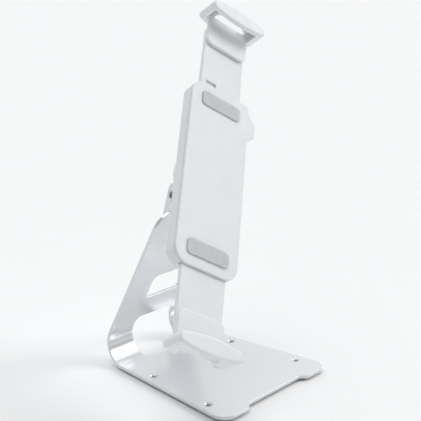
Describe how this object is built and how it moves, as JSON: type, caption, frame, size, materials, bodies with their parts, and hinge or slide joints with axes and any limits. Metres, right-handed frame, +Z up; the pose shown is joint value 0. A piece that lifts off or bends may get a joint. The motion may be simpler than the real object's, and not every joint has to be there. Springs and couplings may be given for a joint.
{
  "type": "tablet stand",
  "caption": "Desk stand for a tablet: a bent steel foot and upright, and a tilting, swivelling grip whose two sliding arms clamp opposite corners.",
  "frame": {"origin": "on the surface that the feet stand on, in the middle of the whole part's bounding box in this pose; the middle of the base plate's four screw holes is 1.8 mm towards -X and 6.0 mm towards -Y from it, and the plate starts 1.9 mm above it", "axes": "+Z up, -Y the side that the tablet faces, +X to the right of someone facing the tablet"},
  "size_m": [0.2028, 0.1484, 0.2711],
  "materials": {
    "white_powder_coat": "satin white powder coat",
    "white_plastic": "satin moulded white plastic",
    "zinc_steel": "zinc plated",
    "dark_steel": "black oxide",
    "grey_rubber": "matt",
    "clear_silicone": "translucent soft pad",
    "ivory_acetal": "natural acetal",
    "nickel_lock": "satin nickel plate"
  },
  "bodies": {
    "stand": {"bent_stand": "white_powder_coat", "foot_front_left": "grey_rubber", "foot_front_right": "grey_rubber", "foot_back_left": "grey_rubber", "foot_back_right": "grey_rubber", "hinge_bracket": "white_powder_coat", "bracket_screw_left": "zinc_steel", "bracket_screw_right": "zinc_steel", "bracket_nut_left": "zinc_steel", "bracket_nut_right": "zinc_steel", "hinge_bolt": "zinc_steel", "hinge_nut": "zinc_steel", "hinge_spring_washer": "zinc_steel", "friction_washer_left": "ivory_acetal", "friction_washer_right": "ivory_acetal"},
    "tilt_head": {"tilt_plate": "white_powder_coat"},
    "grip": {"swivel_washer": "ivory_acetal", "swivel_bolt": "zinc_steel", "swivel_nut": "zinc_steel", "swivel_spring_washer": "zinc_steel", "rear_cover": "white_plastic", "front_cover": "white_plastic", "cover_screw_1": "dark_steel", "cover_screw_2": "dark_steel", "cover_screw_3": "dark_steel", "cover_screw_4": "dark_steel", "cover_pad_lower": "clear_silicone", "cover_pad_upper": "clear_silicone", "lock_barrel": "nickel_lock"},
    "upper_arm": {"arm_upper": "white_plastic", "clamp_upper": "white_plastic", "clamp_screw_upper_left": "dark_steel", "clamp_screw_upper_right": "dark_steel", "lip_pad_upper": "clear_silicone", "wall_pad_upper_left": "clear_silicone", "wall_pad_upper_right": "clear_silicone"},
    "lower_arm": {"arm_lower": "white_plastic", "clamp_lower": "white_plastic", "clamp_screw_lower_left": "dark_steel", "clamp_screw_lower_right": "dark_steel", "lip_pad_lower": "clear_silicone", "wall_pad_lower_left": "clear_silicone", "wall_pad_lower_right": "clear_silicone"},
    "gear": {"pinion": "ivory_acetal"},
    "lock": {"lock_plug": "nickel_lock", "lock_cam": "dark_steel"}
  },
  "joints": [
    {"name": "tilt", "type": "hinge", "parent": "stand", "child": "tilt_head", "pos_m": [-0.00181, 0.02457, 0.13831], "axis": [1, 0, 0], "range_deg": [-30, 15]},
    {"name": "swivel", "type": "hinge", "parent": "tilt_head", "child": "grip", "pos_m": [-0.00181, 0.00183, 0.15192], "axis": [0, -0.8581, 0.5135], "range_deg": [-90, 90]},
    {"name": "upper_arm_slide", "type": "slide", "parent": "grip", "child": "upper_arm", "axis": [0.5779, 0.4191, 0.7003], "range_m": [-0.031, 0.005]},
    {"name": "lower_arm_slide", "type": "slide", "parent": "grip", "child": "lower_arm", "axis": [-0.5779, -0.4191, -0.7003], "range_m": [-0.031, 0.005]},
    {"name": "pinion_spin", "type": "hinge", "parent": "grip", "child": "gear", "pos_m": [-0.00181, 0.00183, 0.15192], "axis": [0, -0.8581, 0.5135], "range_deg": [-297, 48]},
    {"name": "lock_turn", "type": "hinge", "parent": "grip", "child": "lock", "pos_m": [0.05103, 0.01785, 0.17869], "axis": [0, -0.8581, 0.5135], "range_deg": [0, 180]}
  ],
  "couplings": [
    {"joint": "lower_arm_slide", "follows": "upper_arm_slide", "ratio": 1},
    {"joint": "pinion_spin", "follows": "upper_arm_slide", "rad_per_m": 166.67}
  ]
}
